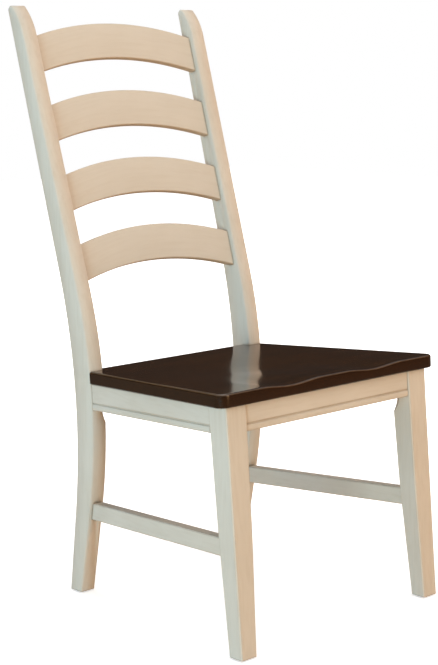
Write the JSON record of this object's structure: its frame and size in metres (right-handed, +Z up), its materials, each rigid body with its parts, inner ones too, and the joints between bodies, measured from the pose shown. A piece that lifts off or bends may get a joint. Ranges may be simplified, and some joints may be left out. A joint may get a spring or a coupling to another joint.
{
  "type": "ladderback chair",
  "caption": "Ladderback dining chair with sabre-curved rear posts, arched bowed slats, dished solid seat, beaded aprons and side stretchers.",
  "frame": {"origin": "on the floor below the middle of the chair's overall box", "axes": "+Z up; the chair faces -Y; +X is to the right of someone looking at its front; X = 0 is the plane of symmetry"},
  "size_m": [0.5532, 0.6532, 1.1054],
  "materials": {
    "painted_wood": "antique cream paint, satin, rubbed at the edges",
    "seat_wood": "dark espresso stain under satin-gloss lacquer",
    "frame_wood": "bare sanded hardwood",
    "steel": "zinc plated",
    "glide_plastic": "matte dark plastic"
  },
  "bodies": {
    "root": {"front_leg_left": "painted_wood", "front_leg_right": "painted_wood", "rear_post_left": "painted_wood", "rear_post_right": "painted_wood", "seat": "seat_wood", "front_apron": "painted_wood", "rear_apron": "painted_wood", "side_apron_left": "painted_wood", "side_apron_right": "painted_wood", "side_stretcher_left": "painted_wood", "side_stretcher_right": "painted_wood", "ladder_slat_1": "painted_wood", "ladder_slat_2": "painted_wood", "ladder_slat_3": "painted_wood", "ladder_slat_4": "painted_wood", "corner_block_front_left": "frame_wood", "corner_block_front_right": "frame_wood", "corner_block_rear_left": "frame_wood", "corner_block_rear_right": "frame_wood", "apron_dowels": "frame_wood", "hanger_bolts": "steel", "bolt_washers": "steel", "bolt_nuts": "steel", "block_screws": "steel", "seat_screws": "steel", "foot_glides": "glide_plastic"}
  },
  "joints": []
}
